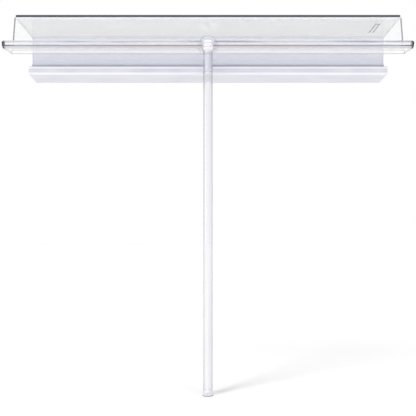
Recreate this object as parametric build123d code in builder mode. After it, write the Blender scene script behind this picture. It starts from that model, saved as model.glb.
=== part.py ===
from build123d import *
import os
from math import radians, sqrt, tan

# Clear sign stand: a long head of bent sheet on a ball joint at the top of a solid pole.
# The origin is the middle of the pole's bottom face. X runs along the head, -Y is the
# front, where the ledge holds a card, and Z is up. Sizes are in millimetres and degrees.

# Overall
stand_height = 500.0       # bottom of the pole to the top of the cover
head_length = 500.0        # cover and ledge, end to end

# Clear sheet
sheet = 3.0                # thickness of every bent sheet
bend_radius = 3.5          # radius of a bend, at the middle of the sheet
plan_corner = 3.0          # rounding of the cover's front corners
lip_corner = 2.5           # rounding of the ledge lip's two top corners

# Cover
cover_front = 26.6         # pole axis to the cover's front edge
cover_back = 36.0          # pole axis to the back of its rear wall
cover_wall_drop = 46.5     # top of the cover to the rear wall's lower edge

# Front ledge
ledge_wall_drop = 49.2     # cover to the fold, at the middle of the sheet
ledge_wall_lean = 9.3      # how far the wall leans forward
ledge_depth = 28.0         # fold to lip
ledge_droop = 9.1          # how far the ledge slopes down towards the lip
lip_height = 7.2           # ledge to the lip's top, at the middle of the sheet
bond_leg = 2.0             # side of the cement bead in the corner

# Rear rail, which grips the rear wall's lower edge
rail_wall = 2.0            # wall of the profile
rail_front_lip = 2.5       # grip on the front of the rear wall
rail_rear_lip = 4.5        # grip on the back of the rear wall
rail_drop = 8.5            # seat of the rear wall down to the fold
rail_leg = 29.3            # front of the profile to the back edge of its leg
rail_droop = 3.0           # how far the leg slopes down towards the back
rail_fold_radius = 1.6     # rounding of the fold
rail_cap_length = 5.0      # end cap, along the head
rail_cap_edge = 0.6        # chamfer of a cap's outer edges
gasket_height = 3.8        # gasket above the front lip
gasket_foot = 1.6          # gasket's thickness at its foot
gasket_tip = 0.8           # and at its top

# Label
label_length = 28.0        # across the cover
label_width = 8.0          # along the cover
label_film = 0.2
label_inset = 24.0         # middle of the label to the cover's right end

# Ball joint
joint_drop = 30.0          # top of the cover to the ball's centre
ball_radius = 9.0
ball_flat_radius = 4.5     # flat under the ball, where it faces the washer
liner_wall = 1.4
liner_below = 3.6          # liner's lower edge, below the ball's centre
liner_above = 6.5          # liner's upper edge, above the ball's centre
cup_wall = 3.0
neck_radius = 5.0
neck_fillet = 2.0
flange_radius = 13.0
flange_thickness = 2.5
bond_film = 1.0            # clear bonding disc between the flange and the cover
ring_depth = 4.0           # retaining ring, below the ball's centre
spigot_wall = 1.3
spigot_height = 2.5
grip_notch_radius = 1.2
grip_notch_count = 12

# Swivel stud
stud_radius = 3.0
stud_in_ball = 12.0        # stud above the ball's flat
stud_in_pole = 24.0        # stud below the pole's top face
washer_thickness = 0.8

# Pole
pole_radius = 6.35
pole_chamfer = 0.5
thread_radius = 2.5        # tapped hole for a base
thread_depth = 9.0
collar_wall = 1.15
collar_height = 3.0
collar_fillet = 0.6

# Clearances
turning_gap = 0.3          # between curved faces that turn on each other
running_gap = 0.08         # stud in the pole's bore, radial
face_gap = 0.1             # ball's flat above the washer
screw_gap = 0.05           # ring's spigot in the cup, radial
bore_end_gap = 1.0         # stud's end above the bottom of the pole's bore

# Places worked out from the sizes above
cover_under = stand_height - sheet
joint_height = stand_height - joint_drop
wall_front = cover_back - sheet
wall_foot = stand_height - cover_wall_drop
half_length = head_length / 2
liner_inner = ball_radius + turning_gap
liner_outer = liner_inner + liner_wall
cavity_radius = liner_outer + turning_gap
cup_radius = cavity_radius + cup_wall
flange_top = cover_under - bond_film
flange_under = flange_top - flange_thickness
collar_radius = pole_radius + collar_wall
ball_flat = joint_height - sqrt(ball_radius**2 - ball_flat_radius**2)
pole_top = ball_flat - face_gap - washer_thickness
joint_plane = Plane.XY.offset(joint_height)

rail_front = wall_front - rail_wall
rail_back = cover_back + rail_wall
lip_top = wall_foot + rail_front_lip
fold_height = wall_foot - rail_drop


def leg_under(y):
    """Height of the rail leg's underside at y."""
    return fold_height - (y - rail_front) * tan(radians(rail_droop))


# Cover: a flat top and a rear wall, bent from one sheet
with BuildPart() as cover:
    with BuildSketch(Plane.YZ):
        with BuildLine() as cover_line:
            FilletPolyline(
                (-cover_front, stand_height - sheet / 2),
                (cover_back - sheet / 2, stand_height - sheet / 2),
                (cover_back - sheet / 2, wall_foot),
                radius=bend_radius,
            )
        trace(cover_line.wire(), line_width=sheet)
    extrude(amount=half_length, both=True)
    front_corners = cover.edges().filter_by(Axis.Z).group_by(Axis.Y)[0]
    fillet(front_corners, radius=plan_corner)

# Front ledge: a leaning wall, a sloping ledge and a low lip, bent from one sheet
wall_top_y = -cover_front + sheet / 2
fold_y = wall_top_y - ledge_wall_drop * tan(radians(ledge_wall_lean))
fold_z = cover_under - ledge_wall_drop
lip_y = fold_y - ledge_depth
lip_z = fold_z - ledge_depth * tan(radians(ledge_droop))
overshoot_y = sheet * tan(radians(ledge_wall_lean))

with BuildPart() as front_ledge:
    with BuildSketch(Plane.YZ):
        with BuildLine() as ledge_line:
            FilletPolyline(
                (wall_top_y + overshoot_y, cover_under + sheet),
                (fold_y, fold_z),
                (lip_y, lip_z),
                (lip_y, lip_z + lip_height),
                radius=bend_radius,
            )
        trace(ledge_line.wire(), line_width=sheet)
    extrude(amount=half_length, both=True)
    split(bisect_by=Plane.XY.offset(cover_under), keep=Keep.BOTTOM)
    lip_side = front_ledge.edges().filter_by(Axis.Y).group_by(Axis.Y)[0]
    fillet(lip_side.group_by(Axis.Z)[-1], radius=lip_corner)

# Cement bead in the corner behind the ledge's wall, under the cover
lean_run = tan(radians(ledge_wall_lean))
wall_back_y = wall_top_y + sheet / 2 * sqrt(1 + lean_run**2)

with BuildPart() as front_bond:
    with BuildSketch(Plane.YZ):
        with BuildLine():
            Polyline(
                (wall_back_y, cover_under),
                (wall_back_y - bond_leg * lean_run, cover_under - bond_leg),
                (wall_back_y + bond_leg, cover_under),
                close=True,
            )
        make_face()
    extrude(amount=half_length - plan_corner, both=True)

# Rear rail: a channel for the rear wall's lower edge, and a leg that reaches back
with BuildPart() as rear_rail:
    with BuildSketch(Plane.YZ) as rail_profile:
        with BuildLine():
            Polyline(
                (rail_front, lip_top),
                (wall_front, lip_top),
                (wall_front, wall_foot),
                (cover_back, wall_foot),
                (cover_back, wall_foot + rail_rear_lip),
                (rail_back, wall_foot + rail_rear_lip),
                (rail_back, wall_foot - rail_wall),
                (wall_front, wall_foot - rail_wall),
                (wall_front, leg_under(wall_front) + rail_wall),
                (rail_front + rail_leg, leg_under(rail_front + rail_leg) + rail_wall),
                (rail_front + rail_leg, leg_under(rail_front + rail_leg)),
                (rail_front, fold_height),
                close=True,
            )
        make_face()
        rail_fold = rail_profile.vertices().sort_by_distance((0, rail_front, fold_height))[0]
        fillet(rail_fold, rail_fold_radius)
    extrude(amount=half_length, both=True)


# Closed ends for the rail, one the mirror image of the other
with BuildPart() as rail_cap_left:
    with BuildSketch(Plane.YZ.offset(-half_length)) as cap_outline:
        with BuildLine():
            Polyline(
                (rail_front, lip_top),
                (rail_back, lip_top),
                (rail_back, leg_under(rail_back) + rail_wall),
                (rail_front + rail_leg, leg_under(rail_front + rail_leg) + rail_wall),
                (rail_front + rail_leg, leg_under(rail_front + rail_leg)),
                (rail_front, fold_height),
                close=True,
            )
        make_face()
        cap_fold = cap_outline.vertices().sort_by_distance((-half_length, rail_front, fold_height))[0]
        fillet(cap_fold, rail_fold_radius)
    extrude(amount=-rail_cap_length)
    chamfer(rail_cap_left.faces().sort_by(Axis.X)[0].edges(), length=rail_cap_edge)

with BuildPart() as rail_cap_right:
    mirror(rail_cap_left.part, about=Plane.YZ)

# Gasket: a soft wedge on the front lip, pressed against the rear wall
with BuildPart() as edge_gasket:
    with BuildSketch(Plane.YZ):
        with BuildLine():
            Polyline(
                (wall_front - gasket_foot, lip_top),
                (wall_front, lip_top),
                (wall_front, lip_top + gasket_height),
                (wall_front - gasket_tip, lip_top + gasket_height),
                close=True,
            )
        make_face()
    extrude(amount=half_length, both=True)

# Blank label under the cover, near its right end
label_y = (wall_front - cover_front) / 2

with BuildPart() as blank_label:
    with BuildSketch(Plane.XY.offset(cover_under)):
        with Locations((half_length - label_inset, label_y)):
            RectangleRounded(label_width, label_length, radius=1)
    extrude(amount=-label_film)

# Socket cup: a dome with a neck and a flange, hollow for the liner and the ball
with BuildPart() as socket_cup:
    with Locations((0, 0, joint_height)):
        Sphere(cup_radius)
    with BuildSketch(joint_plane):
        Circle(neck_radius)
    extrude(amount=flange_top - joint_height)
    with BuildSketch(Plane.XY.offset(flange_top)):
        Circle(flange_radius)
    extrude(amount=-flange_thickness)
    neck_edges = socket_cup.edges().filter_by(GeomType.CIRCLE).filter_by(
        lambda edge: abs(edge.radius - neck_radius) < 0.01
    )
    fillet(neck_edges.sort_by(Axis.Z)[-1], radius=neck_fillet)
    split(bisect_by=joint_plane, keep=Keep.TOP)
    with Locations((0, 0, joint_height)):
        Sphere(cavity_radius, mode=Mode.SUBTRACT)
    with BuildSketch(joint_plane):
        Circle(cavity_radius + spigot_wall + screw_gap)
    extrude(amount=spigot_height, mode=Mode.SUBTRACT)

# Clear bonding disc between the flange and the cover
with BuildPart() as cup_bond:
    with BuildSketch(Plane.XY.offset(flange_top)):
        Circle(flange_radius)
    extrude(amount=bond_film)

# Retaining ring: screws into the cup and holds the liner up, with notches for the fingers
with BuildPart() as socket_ring:
    with Locations((0, 0, joint_height)):
        Sphere(cup_radius)
    split(bisect_by=joint_plane, keep=Keep.BOTTOM)
    split(bisect_by=joint_plane.offset(-ring_depth), keep=Keep.TOP)
    with BuildSketch(joint_plane):
        Circle(cavity_radius + spigot_wall)
    extrude(amount=spigot_height - screw_gap)
    with Locations((0, 0, joint_height)):
        Sphere(cavity_radius, mode=Mode.SUBTRACT)
    with Locations(joint_plane.offset(-ring_depth)):
        with PolarLocations(cup_radius, grip_notch_count):
            Cylinder(grip_notch_radius, 2 * ring_depth - 2 * screw_gap, mode=Mode.SUBTRACT)

# Friction liner: a spherical band between the ball and the cup
with BuildPart() as socket_liner:
    with Locations((0, 0, joint_height)):
        Sphere(liner_outer)
        Sphere(liner_inner, mode=Mode.SUBTRACT)
    split(bisect_by=joint_plane.offset(-liner_below), keep=Keep.TOP)
    split(bisect_by=joint_plane.offset(liner_above), keep=Keep.BOTTOM)

# Ball, with a flat underneath and a blind bore for the stud
with BuildPart() as ball:
    with Locations((0, 0, joint_height)):
        Sphere(ball_radius)
    split(bisect_by=Plane.XY.offset(ball_flat), keep=Keep.TOP)
    with BuildSketch(Plane.XY.offset(ball_flat)):
        Circle(stud_radius)
    extrude(amount=stud_in_ball, mode=Mode.SUBTRACT)

# Stud: fixed in the ball, and turns in the pole
with BuildPart() as ball_stud:
    with BuildSketch(Plane.XY.offset(pole_top - stud_in_pole)):
        Circle(stud_radius)
    extrude(amount=stud_in_pole + ball_flat - pole_top + stud_in_ball)
    chamfer(ball_stud.edges().filter_by(GeomType.CIRCLE).sort_by(Axis.Z)[0], length=pole_chamfer)

# Washer that carries the ball on the pole's top face
with BuildPart() as swivel_washer:
    with BuildSketch(Plane.XY.offset(pole_top)):
        Circle(ball_flat_radius)
        Circle(stud_radius + running_gap, mode=Mode.SUBTRACT)
    extrude(amount=washer_thickness)

# Pole: a solid rod with a blind bore at the top and a tapped hole at the bottom
with BuildPart() as pole:
    with BuildSketch():
        Circle(pole_radius)
    extrude(amount=pole_top)
    chamfer(pole.edges().filter_by(GeomType.CIRCLE).group_by(Axis.Z)[-1], length=pole_chamfer)
    with BuildSketch(Plane.XY.offset(pole_top)):
        Circle(stud_radius + running_gap)
    extrude(amount=-(stud_in_pole + bore_end_gap), mode=Mode.SUBTRACT)
    with BuildSketch():
        Circle(thread_radius)
    extrude(amount=thread_depth, mode=Mode.SUBTRACT)

# Collar bonded round the foot of the pole
with BuildPart() as foot_collar:
    with BuildSketch():
        Circle(collar_radius)
        Circle(pole_radius, mode=Mode.SUBTRACT)
    extrude(amount=collar_height)
    top_edges = foot_collar.edges().filter_by(GeomType.CIRCLE).group_by(Axis.Z)[-1]
    fillet(top_edges.sort_by(SortBy.RADIUS)[-1], radius=collar_fillet)

pieces = {
    "cover": cover.part,
    "front_ledge": front_ledge.part,
    "front_bond": front_bond.part,
    "rear_rail": rear_rail.part,
    "rail_cap_left": rail_cap_left.part,
    "rail_cap_right": rail_cap_right.part,
    "edge_gasket": edge_gasket.part,
    "blank_label": blank_label.part,
    "socket_cup": socket_cup.part,
    "cup_bond": cup_bond.part,
    "socket_ring": socket_ring.part,
    "socket_liner": socket_liner.part,
    "ball": ball.part,
    "ball_stud": ball_stud.part,
    "swivel_washer": swivel_washer.part,
    "pole": pole.part,
    "foot_collar": foot_collar.part,
}

os.makedirs("parts", exist_ok=True)
for name, piece in pieces.items():
    piece.label = name
    export_step(piece, f"parts/{name}.step")
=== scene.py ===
import math

import bpy
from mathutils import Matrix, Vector


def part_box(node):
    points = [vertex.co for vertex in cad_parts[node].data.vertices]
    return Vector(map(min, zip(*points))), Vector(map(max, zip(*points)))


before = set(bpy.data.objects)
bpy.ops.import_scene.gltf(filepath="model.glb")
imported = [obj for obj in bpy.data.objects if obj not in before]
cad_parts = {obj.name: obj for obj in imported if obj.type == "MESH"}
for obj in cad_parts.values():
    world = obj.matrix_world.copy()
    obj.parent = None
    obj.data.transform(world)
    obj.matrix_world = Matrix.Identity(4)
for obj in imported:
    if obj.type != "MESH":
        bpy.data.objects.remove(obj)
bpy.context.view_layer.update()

MM = 0.001

# ---------------------------------------------------------------- places, from the frame

cover_low, cover_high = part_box("cover")
ledge_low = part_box("front_ledge")[0]
rail_low, rail_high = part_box("rear_rail")
ball_low, ball_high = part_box("ball")
label_low, label_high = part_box("blank_label")
gasket_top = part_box("edge_gasket")[1].z

SHEET = 3 * MM
EDGE_SKIN = 0.25 * MM                       # how deep the painted shade and painted light on a cut edge reach
HALF_LENGTH = cover_high.x
COVER_UNDER = cover_high.z - SHEET          # underside of the cover
REAR_WALL_FRONT = cover_high.y - SHEET
LIP_TOP = ledge_low.z + 8.1 * MM
LIP_FOLD = ledge_low.z + SHEET              # bend between the ledge and its lip
LIP_HIDES = ledge_low.z + 22.3 * MM         # the front wall's cut edge is pale below this
FOLD_Y = ledge_low.y + 29.5 * MM            # bend between the ledge and the front wall
DOME_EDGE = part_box("socket_liner")[1].z + 7.5 * MM
RAIL_LIP = rail_low.z + 12.5 * MM           # top of the rail's front lip
RAIL_FOLD = rail_low.z + 1.5 * MM           # bend between the rail's face and its leg
BALL_CENTRE = (ball_low.z + ball_high.z) / 2
STUD_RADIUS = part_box("ball_stud")[1].x
COLLAR_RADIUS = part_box("foot_collar")[1].x


# ---------------------------------------------------------------- shader maths

class Value:
    """One output socket of a surface's nodes, with Python's operators."""

    def __init__(self, surface, socket):
        self.surface = surface
        self.socket = socket

    def maths(self, operation, *others):
        sources = {index: other for index, other in enumerate((self,) + others)}
        return self.surface.add("ShaderNodeMath", {"operation": operation}, sources)["Value"]

    def swapped(self, operation, other):
        return self.surface.add("ShaderNodeMath", {"operation": operation}, {0: other, 1: self})["Value"]

    def __add__(self, other):
        return self.maths("ADD", other)

    def __sub__(self, other):
        return self.maths("SUBTRACT", other)

    def __mul__(self, other):
        return self.maths("MULTIPLY", other)

    def __truediv__(self, other):
        return self.maths("DIVIDE", other)

    def __pow__(self, other):
        return self.maths("POWER", other)

    def __radd__(self, other):
        return self.swapped("ADD", other)

    def __rsub__(self, other):
        return self.swapped("SUBTRACT", other)

    def __rmul__(self, other):
        return self.swapped("MULTIPLY", other)

    def __abs__(self):
        return self.maths("ABSOLUTE")

    def highest(self, other):
        return self.maths("MAXIMUM", other)

    def rising(self, start, end):
        """0 below start, 1 above end, smooth between; start may be the larger."""
        settings = {"interpolation_type": "SMOOTHSTEP"}
        places = {"Value": self, "From Min": start, "From Max": end}
        return self.surface.add("ShaderNodeMapRange", settings, places)["Result"]


class Surface:
    """The nodes of a material, or of the sky."""

    def __init__(self, owner):
        self.owner = owner
        owner.use_nodes = True
        self.tree = owner.node_tree
        self.tree.nodes.clear()

    def add(self, kind, settings=None, values=None):
        """Adds a node and returns its outputs by name. Stops are a ramp's (place, colour) pairs."""
        node = self.tree.nodes.new(kind)
        for key, setting in (settings or {}).items():
            if key == "stops":
                elements = node.color_ramp.elements
                while len(elements) < len(setting):
                    elements.new(1.0)
                for element, (place, colour) in zip(elements, setting):
                    element.position = place
                    element.color = (*colour, 1)
            else:
                setattr(node, key, setting)
        for key, value in (values or {}).items():
            self.feed(node.inputs[key], value)
        return {output.name: Value(self, output) for output in node.outputs if output.enabled}

    def feed(self, socket, value):
        if isinstance(value, Value):
            self.tree.links.new(value.socket, socket)
        elif socket.type == "RGBA" and len(value) == 3:
            socket.default_value = (*value, 1)
        else:
            socket.default_value = value

    def place(self):
        """Where a point is on the part at rest, as x, y and z in metres."""
        where = self.add("ShaderNodeTexCoord")["Object"]
        axes = self.add("ShaderNodeSeparateXYZ", None, {0: where})
        return axes["X"], axes["Y"], axes["Z"]

    def stretched(self, sizes):
        """The object's own coordinates, divided by a size along each axis."""
        where = self.add("ShaderNodeTexCoord")["Object"]
        scale = tuple(1 / size for size in sizes)
        settings = {"operation": "MULTIPLY"}
        return self.add("ShaderNodeVectorMath", settings, {0: where, 1: scale})["Vector"]

    def noise(self, sizes, detail=3.0, roughness=0.5):
        values = {"Vector": self.stretched(sizes), "Scale": 1.0, "Detail": detail, "Roughness": roughness}
        return self.add("ShaderNodeTexNoise", None, values)["Fac"]

    def blend(self, factor, first, second):
        """A colour between first and second."""
        values = {0: factor, 6: first, 7: second}
        return self.add("ShaderNodeMix", {"data_type": "RGBA"}, values)["Result"]

    def bump(self, height, distance, strength=1.0):
        values = {"Height": height, "Distance": distance, "Strength": strength}
        return self.add("ShaderNodeBump", None, values)["Normal"]

    def principled(self, **values):
        named = {key.replace("_", " ").title().replace("Ior", "IOR"): value for key, value in values.items()}
        return self.add("ShaderNodeBsdfPrincipled", None, named)["BSDF"]

    def facing(self):
        """0 where the surface faces the eye, 1 at its outline."""
        return self.add("ShaderNodeLayerWeight", None, {"Blend": 0.5})["Facing"]

    def clear(self, tint):
        return self.add("ShaderNodeBsdfTransparent", None, {"Color": tint})["BSDF"]

    def mixed(self, factor, first, second):
        return self.add("ShaderNodeMixShader", None, {0: factor, 1: first, 2: second})["Shader"]

    def finish(self, shader, shadow=None):
        """Ends the nodes in shader; shadow is the shader that light passes on its way to a shadow."""
        if shadow is not None:
            shadow_ray = self.add("ShaderNodeLightPath")["Is Shadow Ray"]
            shader = self.mixed(shadow_ray, shader, shadow)
        self.add("ShaderNodeOutputMaterial", None, {"Surface": shader})
        return self.owner


def new_surface(name):
    return Surface(bpy.data.materials.new(name))


# ---------------------------------------------------------------- finishes

ACRYLIC_IOR = 1.49
NO_TINT = (0.985, 0.985, 0.99)
SHEET_SHADOW = (0.965, 0.965, 0.97)
# Painted shade and painted light for the clear sheets' cut edges: dark navy and pale.
EDGE_NAVY = (0.010, 0.009, 0.030)
EDGE_PALE = (0.66, 0.67, 0.72)


def acrylic_wear(surface):
    """Roughness of polished acrylic: near zero, with faint wiping marks along the head."""
    wipe = surface.noise((40 * MM, 3 * MM, 3 * MM), detail=4.0)
    specks = surface.noise((1.2 * MM, 1.2 * MM, 1.2 * MM), detail=2.0).rising(0.68, 0.8)
    return wipe.rising(0.5, 0.8) * 0.02 + specks * 0.03 + 0.01


def acrylic(surface, colour, roughness, height, depth):
    return surface.principled(
        base_color=colour,
        roughness=roughness,
        transmission_weight=1.0,
        ior=ACRYLIC_IOR,
        normal=surface.bump(height, depth),
    )


def thin_acrylic(surface, colour, solidity):
    """A clear bent sheet: see-through, solid only by its solidity, and glossy at a slant."""
    roughness = acrylic_wear(surface)
    ripple = surface.noise((90 * MM, 30 * MM, 30 * MM), detail=1.0)
    normal = surface.bump(ripple, 0.06 * MM)
    body = surface.principled(base_color=colour, roughness=roughness, alpha=solidity, normal=normal)
    values = {"Color": (1, 1, 1), "Roughness": roughness, "Normal": normal}
    gloss = surface.add("ShaderNodeBsdfGlossy", None, values)["BSDF"]
    slant = surface.facing()
    shine = slant * slant * slant * slant * slant * 0.8 + 0.035
    return surface.mixed(shine, body, gloss)


def clear_cover():
    """The clear sheet of cover and rear wall, tinted with painted light and shade: dark navy front and lower
    cut edges, pale end edges, a grey top that darkens towards the rear and a blue-grey rear wall that
    darkens downwards.
    """
    surface = new_surface("clear_sheet_cover")
    x, y, z = surface.place()
    # Masks of the cut edges: the ends get painted light, the front and lower edges painted shade.
    ends = abs(x).rising(HALF_LENGTH - 2 * EDGE_SKIN, HALF_LENGTH - EDGE_SKIN)
    front = y.rising(cover_low.y + 2 * EDGE_SKIN, cover_low.y + EDGE_SKIN)
    foot = z.rising(cover_low.z + 2 * EDGE_SKIN, cover_low.z + EDGE_SKIN)
    rear = y.rising(REAR_WALL_FRONT - 1 * MM, REAR_WALL_FRONT - 0.2 * MM)
    low = z.rising(cover_low.z + 44 * MM, cover_low.z)
    top = z.rising(COVER_UNDER - 0.6 * MM, COVER_UNDER - 0.1 * MM)
    cast = surface.noise((160 * MM, 40 * MM, 40 * MM), detail=2.0)
    flow = surface.noise((60 * MM, 6 * MM, 1.2 * MM), detail=3.0)
    # Painted shade: dark navy, streaked by flow, on the front and lower cut edges.
    navy = surface.blend(flow.rising(0.35, 0.7), EDGE_NAVY, (0.035, 0.032, 0.07))
    # Painted shade: the top and the rear wall of the one clear sheet get different grey tints.
    colour = surface.blend(rear, (0.54, 0.545, 0.56), (0.43, 0.45, 0.54))
    colour = surface.blend(ends, colour, EDGE_PALE)
    colour = surface.blend(front.highest(foot), colour, navy)
    # Painted shade: the top grows more solid towards the rear and the rear wall lower down; cast adds random
    # patches.
    towards_rear = y.rising(-10 * MM, REAR_WALL_FRONT)
    body = top * (cast * 0.08 + towards_rear * 0.05 + 0.19) + rear * (low * 0.28 + 0.22)
    solidity = (body + ends * 0.45).highest(front * 0.94).highest(foot * 0.6)
    return surface.finish(thin_acrylic(surface, colour, solidity), surface.clear(SHEET_SHADOW))


def clear_ledge():
    """The clear sheet of front wall, ledge and lip, with painted shade along its bends and cut edges, and
    painted light on the ledge and along the top of the front wall.
    """
    surface = new_surface("clear_sheet_ledge")
    x, y, z = surface.place()
    out = abs(x)
    lip = y.rising(ledge_low.y + SHEET + 2 * MM, ledge_low.y + SHEET)
    ends = out.rising(HALF_LENGTH - 2 * EDGE_SKIN, HALF_LENGTH - EDGE_SKIN)
    lip_ends = out.rising(HALF_LENGTH - 4 * MM, HALF_LENGTH - 1.5 * MM) * lip
    # Painted shade: a dark bluish line along the top of the lip, in patches.
    patches = surface.noise((120 * MM, 20 * MM, 20 * MM), detail=2.0)
    lip_top = z.rising(LIP_TOP - 1.3 * MM, LIP_TOP - 0.8 * MM) * lip
    top_colour = surface.blend(patches.rising(0.45, 0.6), (0.50, 0.52, 0.60), (0.14, 0.16, 0.30))
    # Painted shade: a dark line along the bend between ledge and lip, reddish in the middle and navy near
    # the ends.
    fold_line = z.rising(LIP_FOLD - 1.4 * MM, LIP_FOLD - 0.9 * MM)
    fold_line = fold_line * z.rising(LIP_FOLD + 0.5 * MM, LIP_FOLD - 0.1 * MM) * lip
    warm = out.rising(0.8 * HALF_LENGTH, 0.3 * HALF_LENGTH)
    line_colour = surface.blend(warm, (0.22, 0.22, 0.33), (0.28, 0.17, 0.17))
    near_end = out.rising(HALF_LENGTH - 16 * MM, HALF_LENGTH - 7 * MM)
    line_colour = surface.blend(near_end, line_colour, EDGE_NAVY)
    # Painted shade under the lip's bend.
    under_bend = z.rising(LIP_FOLD + 0.3 * MM, LIP_FOLD - 1.2 * MM)
    under_bend = under_bend * y.rising(ledge_low.y + 4.4 * MM, ledge_low.y + 2.8 * MM)
    at_wall = y.rising(FOLD_Y - 1.5 * MM, FOLD_Y - 0.7 * MM)
    # Painted shade: a dark line along the bend between the ledge and the front wall.
    back_fold = y.rising(FOLD_Y - 3.5 * MM, FOLD_Y - 2.7 * MM)
    back_fold = back_fold * z.rising(LIP_FOLD + 3.0 * MM, LIP_FOLD + 2.2 * MM)
    # Painted highlight along the top of the front wall.
    wall_top = z.rising(COVER_UNDER - 2.2 * MM, COVER_UNDER - 1.4 * MM)
    behind_lip = at_wall * z.rising(LIP_HIDES + 1 * MM, LIP_HIDES)
    # The painted shade lines are left out within 5 to 7.5 mm of the middle.
    beside_ball = out.rising(5 * MM, 7.5 * MM)
    under_bend = under_bend * beside_ball
    fold_line = fold_line * beside_ball
    lip_top = lip_top * beside_ball
    # Painted light: the ledge in front of the wall's bend is tinted white.
    shelf = y.rising(FOLD_Y - 2 * MM, FOLD_Y - 4 * MM) * (1 - lip)
    colour = surface.blend(shelf, (0.62, 0.62, 0.63), (1.0, 1.0, 0.99))
    colour = surface.blend(under_bend, colour, (0.44, 0.435, 0.47))
    colour = surface.blend(wall_top, colour, (1.0, 1.0, 1.0))
    colour = surface.blend(back_fold, colour, (0.07, 0.07, 0.10))
    colour = surface.blend(lip_top, colour, top_colour)
    colour = surface.blend(fold_line, colour, line_colour)
    # Painted shade: dark navy on the cut ends and on the ends of the lip.
    colour = surface.blend(ends.highest(lip_ends), colour, EDGE_NAVY)
    body = under_bend * 0.42 + wall_top * 0.2 + lip * 0.05 + shelf * 0.06 + 0.08
    solidity = body.highest(back_fold * 0.85).highest(lip_top * 0.6).highest(fold_line * 0.85)
    cut_edge = (0.72 - behind_lip * 0.68) * (1 - shelf * 0.55)
    solidity = solidity.highest(ends * cut_edge).highest(lip_ends * 0.93)
    return surface.finish(thin_acrylic(surface, colour, solidity), surface.clear(SHEET_SHADOW))


def clear_rod():
    """A solid clear rod with painted shade, darker at its edges and along one side; round the stud and at
    the foot it doesn't bend the light.
    """
    surface = new_surface("clear_rod")
    x, y, z = surface.place()
    ripple = surface.noise((6 * MM, 6 * MM, 60 * MM), detail=1.0)
    wipe = surface.noise((2 * MM, 2 * MM, 30 * MM), detail=4.0)
    # Painted shade: the rod is darker at its outline and along one side, as refraction would show it.
    outline = surface.facing().rising(0.2, 0.55)
    flow = surface.noise((8 * MM, 8 * MM, 160 * MM), detail=1.0) - 0.5
    stripe = (x + flow * (3 * MM)).rising(0.2 * MM, 1.6 * MM) * 0.55
    colour = surface.blend(stripe, (0.94, 0.94, 0.95), (0.72, 0.70, 0.78))
    colour = surface.blend(outline, colour, (0.42, 0.41, 0.47))
    glass = acrylic(surface, colour, wipe.rising(0.5, 0.8) * 0.04 + 0.01, ripple, 0.1 * MM)
    from_axis = (x * x + y * y) ** 0.5
    bore = from_axis.rising(STUD_RADIUS + 0.9 * MM, STUD_RADIUS + 0.3 * MM)
    wetted = (bore * 0.9).highest(z.rising(5 * MM, 3.3 * MM))
    foot = z.rising(20 * MM, 8 * MM)
    shadow = surface.mixed(foot, surface.clear((0.30, 0.30, 0.33)), surface.clear(NO_TINT))
    return surface.finish(surface.mixed(wetted, glass, surface.clear(NO_TINT)), shadow)


def clear_collar():
    """A clear ring with painted shade: a dark navy line along its lower rim, on the side towards the eye."""
    surface = new_surface("clear_collar")
    x, y, z = surface.place()
    swirl = surface.noise((5 * MM, 5 * MM, 5 * MM), detail=2.0)
    outer = ((x * x + y * y) ** 0.5).rising(COLLAR_RADIUS - 0.5 * MM, COLLAR_RADIUS - 0.2 * MM)
    near = 1 - surface.add("ShaderNodeNewGeometry")["Backfacing"]
    # Painted shade: the dark navy line on the lower rim's near side.
    rim = z.rising(1.5 * MM, 0.7 * MM) * outer * near
    colour = surface.blend(rim, (0.96, 0.96, 0.99), (0.03, 0.03, 0.08))
    shader = surface.principled(
        base_color=colour,
        roughness=swirl.rising(0.4, 0.8) * 0.05 + 0.05,
        alpha=surface.facing().rising(0.3, 1.0) * outer * near * 0.2 + rim * 0.78,
        normal=surface.bump(swirl, 0.1 * MM),
    )
    return surface.finish(shader, surface.clear(NO_TINT))


def clear_socket():
    """Thin, nearly clear mouldings: seen by their outlines, which are painted darker as shade, with a slight
    haze low down.
    """
    surface = new_surface("clear_socket")
    z = surface.place()[2]
    swirl = surface.noise((5 * MM, 5 * MM, 5 * MM), detail=2.0)
    # Painted shade: the outline is darker and more solid.
    outline = surface.facing().rising(0.38, 0.75)
    dome = z.rising(DOME_EDGE + 1.5 * MM, DOME_EDGE)
    colour = surface.blend(outline, (0.86, 0.86, 0.94), (0.34, 0.34, 0.42))
    film = surface.principled(
        base_color=colour,
        roughness=swirl.rising(0.4, 0.8) * 0.1 + 0.08,
        alpha=(outline * 0.55 + swirl * 0.08 + 0.06) * dome,
        normal=surface.bump(swirl, 0.1 * MM),
    )
    return surface.finish(film)


def polished_ball():
    """A pale ball with a painted dark rim of shade at its outline in the lower half; away from the rim it
    glows faintly, as painted light.
    """
    surface = new_surface("polished_ball")
    z = surface.place()[2]
    swirl = surface.noise((4 * MM, 4 * MM, 4 * MM), detail=2.0)
    # Painted shade: the dark rim on the lower half of the ball's outline.
    lower = z.rising(BALL_CENTRE + 4 * MM, BALL_CENTRE + 1.5 * MM)
    outline = surface.facing().rising(0.22, 0.48) * lower
    colour = surface.blend(outline, (0.97, 0.97, 1.0), (0.035, 0.035, 0.05))
    shader = surface.principled(
        base_color=colour,
        roughness=swirl.rising(0.4, 0.8) * 0.05 + 0.06,
        # Painted light: the ball glows, pale away from its dark rim.
        emission_color=surface.blend(outline, (0.9, 0.9, 0.93), (0.0, 0.0, 0.0)),
        emission_strength=0.3,
        normal=surface.bump(swirl, 0.1 * MM),
    )
    return surface.finish(shader)


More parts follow.
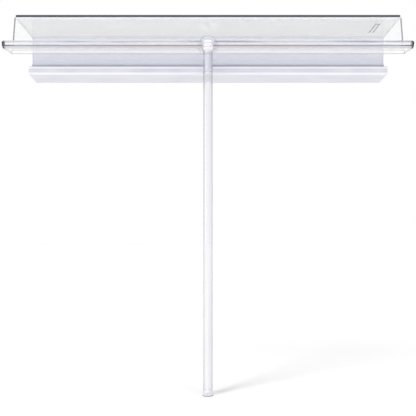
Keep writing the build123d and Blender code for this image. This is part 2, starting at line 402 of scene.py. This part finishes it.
def cement():
    """Clear cement with small bubbles."""
    surface = new_surface("cement")
    bubbles = surface.noise((1.5 * MM, 1.5 * MM, 1.5 * MM), detail=2.0)
    rings = bubbles.rising(0.62, 0.68)
    colour = surface.blend(rings, (0.90, 0.90, 0.94), (0.70, 0.70, 0.76))
    shader = surface.principled(
        base_color=colour,
        roughness=rings * 0.3 + 0.15,
        alpha=rings * 0.08 + 0.03,
        normal=surface.bump(bubbles, 0.015 * MM),
    )
    return surface.finish(shader)


def hazy_rail():
    """A hazy extruded profile, streaked along its length, with painted light and shade: a darker front face,
    a shaded line with a highlight below it along the lip's top, a highlight along the fold and a shaded rear
    edge on the leg.
    """
    surface = new_surface("hazy_rail")
    y, z = surface.place()[1:]
    streaks = surface.noise((150 * MM, 1.5 * MM, 1.5 * MM), detail=4.0)
    clouds = surface.noise((35 * MM, 10 * MM, 10 * MM), detail=3.0)
    tone = (streaks * 0.5 + clouds * 0.5).rising(0.35, 0.65)
    # Painted highlight just under the lip's top, and painted shade along the lip's top front edge.
    rail_lip_highlight = z.rising(RAIL_LIP - 3.0 * MM, RAIL_LIP - 2.2 * MM)
    rail_lip_shade = z.rising(RAIL_LIP - 0.9 * MM, RAIL_LIP - 0.6 * MM) * y.rising(rail_low.y + 1 * MM, rail_low.y)
    # Painted shade: the front face is tinted darker than the leg.
    face = z.rising(RAIL_FOLD + 2.0 * MM, RAIL_FOLD + 3.5 * MM)
    # Painted highlight along the fold between face and leg.
    fold_highlight = z.rising(RAIL_FOLD + 2.5 * MM, RAIL_FOLD + 1.6 * MM)
    fold_highlight = fold_highlight * y.rising(rail_low.y + 4 * MM, rail_low.y + 2 * MM)
    # Painted shade along the leg's rear edge.
    leg_end_shade = y.rising(rail_high.y - 1.2 * MM, rail_high.y - 0.4 * MM)
    colour = surface.blend(tone, (0.73, 0.73, 0.79), (0.80, 0.80, 0.85))
    colour = surface.blend(face, colour, surface.blend(tone, (0.61, 0.61, 0.67), (0.70, 0.70, 0.75)))
    colour = surface.blend(rail_lip_highlight, colour, (0.87, 0.87, 0.90))
    colour = surface.blend(rail_lip_shade, colour, (0.42, 0.42, 0.49))
    colour = surface.blend(fold_highlight, colour, (0.92, 0.92, 0.96))
    colour = surface.blend(leg_end_shade, colour, (0.60, 0.60, 0.66))
    shader = surface.principled(
        base_color=colour,
        roughness=streaks * 0.15 + 0.3,
        transmission_weight=0.1,
        ior=1.5,
        normal=surface.bump(streaks, 0.05 * MM),
    )
    return surface.finish(shader, surface.clear((0.95, 0.95, 0.96)))


def soft_gasket():
    """A soft grey strip with painted shade in a darker band along its middle."""
    surface = new_surface("soft_gasket")
    z = surface.place()[2]
    grain = surface.noise((30 * MM, 0.6 * MM, 0.6 * MM), detail=3.0)
    # Painted shade: a darker band along the middle of the strip.
    middle_shade = z.rising(gasket_top - 0.7 * MM, gasket_top - 1.2 * MM)
    middle_shade = middle_shade * z.rising(gasket_top - 2.8 * MM, gasket_top - 2.2 * MM)
    colour = surface.blend(grain.rising(0.3, 0.7), (0.44, 0.45, 0.53), (0.50, 0.51, 0.60))
    colour = surface.blend(middle_shade, colour, (0.26, 0.26, 0.32))
    shader = surface.principled(
        base_color=colour,
        roughness=grain * 0.2 + 0.45,
        normal=surface.bump(grain, 0.05 * MM),
    )
    return surface.finish(shader)


def label_film():
    """A clear label with a plain printed border, one heavier line and nothing to read."""
    surface = new_surface("label_film")
    x, y = surface.place()[:2]
    middle = (label_low + label_high) / 2
    across = abs(x - middle.x)
    along = abs(y - middle.y)
    marks = surface.noise((4 * MM, 1.6 * MM, 4 * MM), detail=0.0).rising(0.36, 0.5) * 0.6 + 0.4
    sides = across.rising(1.7 * MM, 2.0 * MM) * across.rising(3.4 * MM, 3.1 * MM)
    end = (middle.y - y).rising(10.3 * MM, 10.8 * MM) * across.rising(3.4 * MM, 3.1 * MM)
    lines = sides.highest(end) * along.rising(12.8 * MM, 12.4 * MM) * marks
    grain = surface.noise((1 * MM, 1 * MM, 1 * MM), detail=3.0)
    colour = surface.blend(grain.rising(0.3, 0.7), (0.70, 0.70, 0.73), (0.76, 0.76, 0.79))
    colour = surface.blend(lines, colour, (0.07, 0.07, 0.08))
    shader = surface.principled(
        base_color=colour,
        roughness=grain * 0.2 + 0.4,
        alpha=lines * 0.7 + 0.1,
        normal=surface.bump(grain, 0.02 * MM),
    )
    return surface.finish(shader)


def liner_plastic():
    surface = new_surface("liner_plastic")
    grain = surface.noise((1.5 * MM, 1.5 * MM, 1.5 * MM), detail=3.0)
    outline = surface.facing().rising(0.4, 0.9)
    colour = surface.blend(grain.rising(0.3, 0.7), (0.94, 0.94, 1.0), (0.97, 0.97, 1.0))
    shader = surface.principled(
        base_color=colour,
        roughness=grain * 0.2 + 0.35,
        alpha=outline * 0.12 + 0.06,
        normal=surface.bump(grain, 0.05 * MM),
    )
    return surface.finish(shader)


# Pale lavender nylon for stud and washer, with a painted glow.
def stud_nylon():
    surface = new_surface("stud_nylon")
    grain = surface.noise((1 * MM, 1 * MM, 4 * MM), detail=3.0)
    colour = surface.blend(grain.rising(0.3, 0.7), (0.86, 0.87, 0.96), (0.94, 0.95, 1.0))
    shader = surface.principled(
        base_color=colour,
        roughness=grain * 0.15 + 0.3,
        # Painted light: the stud and washer glow faintly, brighter than their lighting makes them.
        emission_color=surface.blend(grain, (0.80, 0.80, 0.88), (0.90, 0.90, 0.97)),
        emission_strength=0.26,
        normal=surface.bump(grain, 0.05 * MM),
    )
    return surface.finish(shader)


# ---------------------------------------------------------------- CAD pieces get their finish

FINISHES = {
    clear_cover: ["cover"],
    clear_ledge: ["front_ledge"],
    clear_rod: ["pole"],
    clear_collar: ["foot_collar"],
    clear_socket: ["socket_cup", "socket_ring"],
    polished_ball: ["ball"],
    cement: ["front_bond", "cup_bond"],
    hazy_rail: ["rear_rail", "rail_cap_left", "rail_cap_right"],
    soft_gasket: ["edge_gasket"],
    label_film: ["blank_label"],
    liner_plastic: ["socket_liner"],
    stud_nylon: ["ball_stud", "swivel_washer"],
}

for make_finish, nodes in FINISHES.items():
    finish = make_finish()
    for node in nodes:
        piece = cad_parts[node]
        piece.data.materials.clear()
        piece.data.materials.append(finish)


# ---------------------------------------------------------------- stage, light and camera

FLOOR_SIZE = 200
FLOOR_DROP = 0.1 * MM


def floor():
    """A pale floor, just clear of the pole's foot so that their faces don't coincide."""
    bpy.ops.mesh.primitive_plane_add(size=FLOOR_SIZE, location=(0, 0, -FLOOR_DROP))
    ground = bpy.context.object
    ground.name = "studio_floor"
    surface = new_surface("studio_floor")
    grain = surface.noise((0.02, 0.02, 0.02), detail=3.0)
    colour = surface.blend(grain, (0.90, 0.90, 0.90), (0.92, 0.92, 0.92))
    ground.data.materials.append(surface.finish(surface.principled(base_color=colour, roughness=0.9)))


def distant_light(name, azimuth, elevation, softness, strength):
    """A soft light far away; azimuth 0 is straight in front of the part and grows to the right."""
    light = bpy.data.lights.new(name, "SUN")
    light.angle = math.radians(softness)
    light.energy = strength
    lamp = bpy.data.objects.new(name, light)
    turn, rise = math.radians(azimuth), math.radians(elevation)
    towards = Vector((math.sin(turn) * math.cos(rise), -math.cos(turn) * math.cos(rise), math.sin(rise)))
    lamp.rotation_euler = (-towards).to_track_quat("-Z", "Y").to_euler()
    lamp.visible_glossy = False
    lamp.visible_transmission = False
    bpy.context.scene.collection.objects.link(lamp)


SKY_STOPS = [(0.0, 1.0), (0.5, 1.0), (0.6, 0.98), (0.8, 0.9), (1.0, 0.6)]
SKY_FOR_FLOOR = 0.56
SKY_BEHIND_CAMERA = 0.85
STRIP_AZIMUTH = math.radians(60)
STRIP_BRIGHTNESS = 2.5


def studio_sky():
    """White all round, as the eye and the floor see it; dimmer overhead and in front in the gloss."""
    world = bpy.data.worlds.new("studio")
    bpy.context.scene.world = world
    sky = Surface(world)
    where = sky.add("ShaderNodeTexCoord")["Generated"]
    axes = sky.add("ShaderNodeSeparateXYZ", None, {0: where})
    x, y, z = axes["X"], axes["Y"], axes["Z"]
    stops = [(place, (level, level, level * 1.01)) for place, level in SKY_STOPS]
    dome = sky.add("ShaderNodeValToRGB", {"stops": stops}, {0: z * 0.5 + 0.5})["Color"]
    behind_camera = y.rising(0.3, -0.9)
    towards_strip = x * -math.sin(STRIP_AZIMUTH) + y * -math.cos(STRIP_AZIMUTH)
    strip = towards_strip.rising(0.9, 0.97) * z.rising(-0.3, 0.0) * z.rising(0.8, 0.6)
    level = 1 - behind_camera * (1 - SKY_BEHIND_CAMERA) + strip * STRIP_BRIGHTNESS
    shaded = sky.add("ShaderNodeVectorMath", {"operation": "SCALE"}, {0: dome, 3: level})["Vector"]
    gloss = sky.add("ShaderNodeBackground", None, {"Color": shaded})["Background"]
    seen = sky.add("ShaderNodeBackground", None, {"Color": (1, 1, 1)})["Background"]
    floor_light = (SKY_FOR_FLOOR, SKY_FOR_FLOOR, SKY_FOR_FLOOR)
    lit = sky.add("ShaderNodeBackground", None, {"Color": floor_light})["Background"]
    path = sky.add("ShaderNodeLightPath")
    mixed = sky.mixed(path["Is Diffuse Ray"], gloss, lit)
    mixed = sky.mixed(path["Is Camera Ray"], mixed, seen)
    sky.add("ShaderNodeOutputWorld", None, {"Surface": mixed})


def light_paths():
    """The clear sheets, socket and ball lie many layers deep."""
    cycles = bpy.context.scene.cycles
    cycles.max_bounces = 24
    cycles.transmission_bounces = 16
    cycles.transparent_max_bounces = 32


SENSOR_WIDTH = 36
FOCAL_LENGTH = 38.94
SHIFT_UP = 0.0865
CAMERA_DISTANCE = 0.608
CAMERA_HEIGHT = 0.204


def camera():
    lens = bpy.data.cameras.new("camera")
    lens.sensor_width = SENSOR_WIDTH
    lens.lens = FOCAL_LENGTH
    lens.shift_y = SHIFT_UP
    view = bpy.data.objects.new("camera", lens)
    view.location = (0, -CAMERA_DISTANCE, CAMERA_HEIGHT)
    view.rotation_euler = (math.pi / 2, 0, 0)
    bpy.context.scene.collection.objects.link(view)
    bpy.context.scene.camera = view


floor()
distant_light("key_light", -50, 48, 16, 1.35)
distant_light("wide_light", -36, 44, 48, 0.50)
distant_light("fill_light", 42, 52, 26, 0.40)
distant_light("front_light", 8, 12, 40, 0.3)
light_paths()
studio_sky()
camera()
bpy.context.scene.view_settings.view_transform = "Standard"
